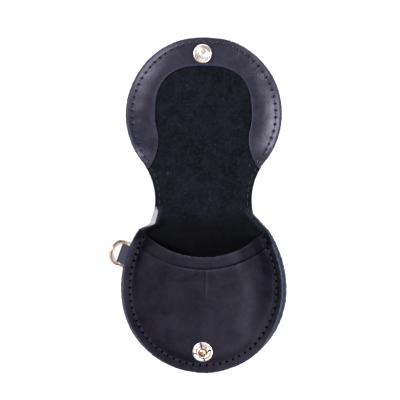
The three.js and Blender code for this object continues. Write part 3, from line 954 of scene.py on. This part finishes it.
def facing_piece(holes):
    columns, rows = 620, 60
    angle = np.linspace(-TIP_ANGLE, TIP_ANGLE, columns)
    inner = np.interp(np.abs(angle), *WINDOW)
    upper = sewn(facing_top, holes, 1, 0.04, 0.22)
    sheets = []
    for h, height, sign in ((0.0, flap_top, 1), (FACING_T, upper, -1)):
        outer = flap_edge_reach(angle) - flap_setback(angle, h) + ragged(angle, 15, 0.04)
        outer = np.maximum(outer, inner + 0.05)
        share = np.linspace(0, 1, rows)
        share = share - 0.09 * np.sin(2 * math.pi * share)
        reach = outer[None, :] + (inner - outer)[None, :] * share[:, None]
        x, y = reach * np.sin(angle), FLAP_Y + reach * np.cos(angle)
        inward = np.minimum(outer[None, :] - reach, reach - inner[None, :])
        z = height(x, y) + sign * edge_drop(inward)
        sheets.append(np.stack([x, y, z + (0.02 if h == 0 else 0)], -1))
    piece = strip_layer("facing_leather_panel", [FACING_LEATHER, SUEDE, EDGE], *sheets, inward)
    mark_hole_shade(piece, holes, 0.34)
    return piece


def flap_pieces():
    holes = walk(flap_line(), STITCH)
    base_holes = np.concatenate([holes, ALL_NECK_HOLES])
    leather = round_layer("flap_leather", [SUEDE, OUTER_GRAIN, EDGE],
                          [flap_leather_edge(-BACK_T), flap_leather_edge(0)],
                          [sewn(flap_bottom, base_holes, -1),
                           sewn(flap_top, ALL_NECK_HOLES, 1, 0.1, 0.35)],
                          centre_y=FLAP_Y)
    mark_hole_shade(leather, base_holes)
    facing = facing_piece(holes)
    stitches_in = thread("flap_stitches_in", holes, facing_top, THREAD, 0.17)
    stitches_out = thread("flap_stitches_out", holes, flap_bottom, THREAD, side=-1)
    for piece in (leather, facing, stitches_in, stitches_out):
        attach(piece, "flap")
    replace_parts(leather, "flap_panel")
    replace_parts(facing, "flap_facing")
    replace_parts(stitches_in, "flap_thread_inside")
    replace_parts(stitches_out, "flap_thread_outside")


# ---- snap, tab and ring ----
def placed(points, matrix):
    return points @ matrix[:3, :3].T + matrix[:3, 3]


def turned(name, profile, mat, segments=64, matrix=None):
    """A solid turned about +Z from a closed profile of radius and height pairs, in mm."""
    profile = np.asarray(profile, float)
    points, faces = [], []
    count = len(profile)
    for s in range(segments):
        turn = 2 * math.pi * s / segments
        for r, z in profile:
            points.append([r * math.cos(turn), r * math.sin(turn), z])
    for s in range(segments):
        a, b = s * count, ((s + 1) % segments) * count
        faces += [(a + k, a + (k + 1) % count, b + (k + 1) % count, b + k) for k in range(count)]
    points = np.array(points)
    if matrix is not None:
        points = placed(points, matrix)
    return new_object(name, points, faces, [mat], smooth_angle=35)


def rounded(profile, radius=0.12):
    """The profile with its corners softened."""
    steps = 4
    profile = [np.array(p, float) for p in profile]
    out = []
    for i, here in enumerate(profile):
        before, after = profile[i - 1], profile[(i + 1) % len(profile)]
        a, b = before - here, after - here
        r = min(radius, np.linalg.norm(a) * 0.45, np.linalg.norm(b) * 0.45)
        start, end = here + a / np.linalg.norm(a) * r, here + b / np.linalg.norm(b) * r
        for k in range(steps + 1):
            t = k / steps
            out.append((1 - t) ** 2 * start + 2 * t * (1 - t) * here + t ** 2 * end)
    return out


def stud_matrix():
    c, s = math.cos(STUD_TILT), math.sin(STUD_TILT)
    matrix = np.eye(4)
    matrix[:3, :3] = [[1, 0, 0], [0, c, -s], [0, s, c]]
    matrix[:3, 3] = [SNAP_X, STUD_Y, STUD_Z]
    return matrix


def at_socket(z=0.0):
    matrix = np.eye(4)
    matrix[:3, 3] = [SNAP_X, SOCKET_Y, z]
    return matrix


def snap_pieces():
    base = FLAP_Z + BACK_T + FACING_T
    cap = turned("cap_shell", rounded([
        [0.02, 0.0], [2.9, 0.12], [4.4, 0.5], [5.25, 1.25], [5.25, 1.75], [4.95, 2.0],
        [1.8, 2.0], [1.8, base + 0.62], [1.5, base + 0.85], [0.9, base + 1.0],
        [0.02, base + 1.05]]), NICKEL, matrix=at_socket())
    socket = turned("socket_cup", rounded([
        [1.85, 0.0], [4.4, 0.0], [4.9, 0.5], [4.9, 2.0], [4.65, 2.45], [4.25, 2.6],
        [3.85, 2.3], [3.6, 2.0], [3.5, 1.3], [3.2, 0.78], [2.9, 0.6], [1.9, 0.5], [1.85, 0.3]],
        radius=0.2),
        NICKEL, matrix=at_socket(base))
    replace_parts(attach(cap, "flap"), "snap_cap")
    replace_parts(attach(socket, "flap"), "snap_socket")
    post_low = -(H_OUTER_TOP + 0.45)
    post = turned("stud_post", rounded([
        [0.02, post_low - 0.5], [3.3, post_low - 0.5], [3.6, post_low - 0.25], [3.4, post_low],
        [1.8, post_low], [1.8, 1.1], [1.5, 1.4], [0.9, 1.62], [0.02, 1.7]]),
        BRASS, matrix=stud_matrix())
    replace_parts(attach(post, "pouch"), "snap_eyelet")
    stud = stud_piece()
    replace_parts(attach(stud, "pouch"), "snap_stud")


def stud_piece():
    """The stud's flange and ring, with the four slots cut through the ring."""
    slot_size = (2.55, 0.72, 6.0)
    slot_reach, first_slot_deg = 3.72, 12
    profile = rounded([
        [2.15, 0.0], [5.0, 0.0], [5.25, 0.3], [5.1, 0.65], [4.6, 0.8], [3.65, 0.72], [3.4, 0.4],
        [3.2, 0.85], [3.3, 1.8], [3.1, 2.45], [2.75, 2.7], [2.4, 2.5], [2.15, 2.1]], radius=0.15)
    stud = turned("stud_ring", profile, NICKEL, segments=96)
    cutters = []
    for i in range(4):
        turn = math.radians(first_slot_deg + 90 * i)
        bpy.ops.mesh.primitive_cube_add(size=1)
        cutter = bpy.context.object
        cutter.scale = [length * MM for length in slot_size]
        cutter.rotation_euler = (0, 0, turn)
        reach = slot_reach * MM
        cutter.location = (reach * math.cos(turn), reach * math.sin(turn), 0)
        cutters.append(cutter)
    for cutter in cutters:
        modifier = stud.modifiers.new("slot", "BOOLEAN")
        modifier.object = cutter
        modifier.solver = "EXACT"
    bpy.context.view_layer.update()
    evaluated = stud.evaluated_get(bpy.context.evaluated_depsgraph_get())
    mesh = bpy.data.meshes.new_from_object(evaluated)
    points = np.array([v.co[:] for v in mesh.vertices]) / MM
    faces = [tuple(p.vertices) for p in mesh.polygons]
    for cutter in cutters:
        bpy.data.objects.remove(cutter)
    bpy.data.objects.remove(stud)
    points = placed(points, stud_matrix())
    return new_object("stud_ring", points, faces, [NICKEL], smooth_angle=35)


RING_JOINT = next(j for j in frame["joints"] if j["name"] == "ring_swing")
BAR = np.array(RING_JOINT["pos_m"]) / MM
BAR_WAY = np.array(RING_JOINT["axis"]) / np.linalg.norm(RING_JOINT["axis"])
OUT = np.cross(UP, BAR_WAY)
OUT = OUT if OUT[0] < 0 else -OUT       # away from the pouch


def sweep(name, path, radius, mat, frame_of):
    """A round wire along a path. frame_of gives two directions across it at a point's number."""
    sides = 20
    points, faces = [], []
    for i, point in enumerate(path):
        across, up = frame_of(i)
        for s in range(sides):
            turn = 2 * math.pi * s / sides
            points.append(point + radius * (math.cos(turn) * across + math.sin(turn) * up))
    for i in range(len(path) - 1):
        a, b = i * sides, (i + 1) * sides
        faces += [(a + s, a + (s + 1) % sides, b + (s + 1) % sides, b + s) for s in range(sides)]
    faces.append(tuple(range(sides)))
    faces.append(tuple(range((len(path) - 1) * sides, len(path) * sides)))
    return new_object(name, points, faces, [mat])


def ring_piece():
    """The D-ring's wire: it starts and ends at the butt joint in the straight bar."""
    straight = RING_HALF - RING_CORNER
    droop = math.asin((BAR[2] - RING_WIRE) / (RING_LEG + RING_HALF))
    out = OUT * math.cos(droop) - UP * math.sin(droop)
    across = np.cross(BAR_WAY, out)
    flat = [(RING_BUTT + (straight - RING_BUTT) * k / 8, 0.0) for k in range(8)]

    def arc(cx, cy, r, start, end, steps):
        for k in range(steps + 1):
            angle = start + (end - start) * k / steps
            flat.append((cx + r * math.cos(angle), cy + r * math.sin(angle)))
    arc(straight, RING_CORNER, RING_CORNER, -math.pi / 2, 0, 8)
    arc(0, RING_LEG, RING_HALF, 0, math.pi, 48)
    arc(-straight, RING_CORNER, RING_CORNER, math.pi, 1.5 * math.pi, 8)
    flat += [(-straight + (straight - RING_BUTT) * k / 8, 0.0) for k in range(1, 9)]
    path = [BAR + BAR_WAY * a + out * m for a, m in flat]

    def frame_of(i):
        before, after = path[max(0, i - 1)], path[min(len(path) - 1, i + 1)]
        along = (after - before) / np.linalg.norm(after - before)
        return np.cross(along, across), across
    ring = sweep("d_ring_wire", path, RING_WIRE, RING_METAL, frame_of)
    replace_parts(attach(ring, "ring"), "d_ring")


def tab_piece():
    """A leather strap folded round the ring's bar, its two plies pressed into the seam."""
    width, inner_r, outer_r = 10.0, 1.02, 1.72
    root = np.array([-5.2, 1.15])           # outwards from the bar, and above it
    loop_start = np.array([-0.9, 1.05])
    centre_line = [root * (1 - k / 9) + loop_start * (k / 9) for k in range(10)]
    half_ply = (outer_r - inner_r) / 2
    top = [p + np.array([0, half_ply]) for p in centre_line]
    low = [p - np.array([0, half_ply]) for p in centre_line]
    arc_angles = np.radians(np.linspace(118, -170, 44))
    loop = [np.array([math.cos(a), math.sin(a)]) for a in arc_angles]
    outer = top + [d * outer_r for d in loop]
    inner = low + [d * inner_r for d in loop]
    section = outer + inner[::-1]
    rows = 26
    points, faces = [], []
    for r in range(rows):
        share = r / (rows - 1)
        edge = abs(share - 0.5) * 2
        shrink = 0.12 * max(0, (edge - 0.94) / 0.06)
        along = (share - 0.5) * width
        for n, z in section:
            points.append(BAR + BAR_WAY * along + OUT * (n * (1 - shrink * 0.1)) + UP * z)
    count = len(section)
    for r in range(rows - 1):
        a, b = r * count, (r + 1) * count
        faces += [(a + k, a + (k + 1) % count, b + (k + 1) % count, b + k) for k in range(count)]
    indices = [0] * len(faces)
    half = len(outer)
    for row in (0, (rows - 1) * count):
        for k in range(half - 1):
            faces.append((row + k, row + k + 1, row + count - 2 - k, row + count - 1 - k))
            indices.append(1)
    tab = new_object("tab_strap", points, faces, [TAB_LEATHER, EDGE], indices)
    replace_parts(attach(tab, "pouch"), "ring_tab")


# ---- studio ----
def studio():
    """White paper, soft light and a long lens. Lengths here are metres."""
    scene = bpy.context.scene
    scene.view_settings.view_transform = "Standard"
    floor_mat = Nodes("floor_paper")
    floor_mat.set(Base_Color=(0.93, 0.93, 0.935, 1), Roughness=0.9, Specular_IOR_Level=0.1)
    bpy.ops.mesh.primitive_plane_add(size=4.0, location=(0, 0.05, -0.0002))
    floor = bpy.context.object
    floor.name = "floor"
    floor.data.materials.append(floor_mat.mat)

    world = bpy.data.worlds.new("studio")
    scene.world = world
    world.use_nodes = True
    world.node_tree.nodes["Background"].inputs[0].default_value = (0.95, 0.96, 1.0, 1)
    world.node_tree.nodes["Background"].inputs[1].default_value = 0.2

    def area(name, place, size, power, tint=(1, 1, 1)):
        data = bpy.data.lights.new(name, "AREA")
        data.shape = "RECTANGLE"
        data.size, data.size_y = size
        data.energy = power
        data.color = tint
        light = bpy.data.objects.new(name, data)
        light.location = place
        target = Vector((0, 0.045, 0)) - Vector(place)
        light.rotation_euler = target.to_track_quat("-Z", "Y").to_euler()
        scene.collection.objects.link(light)
    area("key", (-0.74, 0.24, 1.1), (0.3, 0.4), 22.0, (1, 0.99, 0.98))
    area("fill", (0.52, -0.42, 1.15), (0.5, 0.5), 19.0, (0.98, 0.98, 1))
    area("back", (0.1, 1.15, 0.8), (1.1, 0.5), 11.0)
    area("front", (0.75, -0.7, 0.75), (0.6, 0.6), 11.0)

    camera_data = bpy.data.cameras.new("camera")
    sensor_width, distance, view_width = 36.0, 1.5, 0.206
    camera_data.sensor_width = sensor_width
    camera_data.lens = sensor_width * distance / view_width
    camera_data.clip_end = 20
    camera = bpy.data.objects.new("camera", camera_data)
    camera.location = (-0.0018, 0.0464, distance)
    scene.collection.objects.link(camera)
    scene.camera = camera


pouch_pieces()
neck_pieces()
flap_pieces()
snap_pieces()
ring_piece()
tab_piece()
studio()
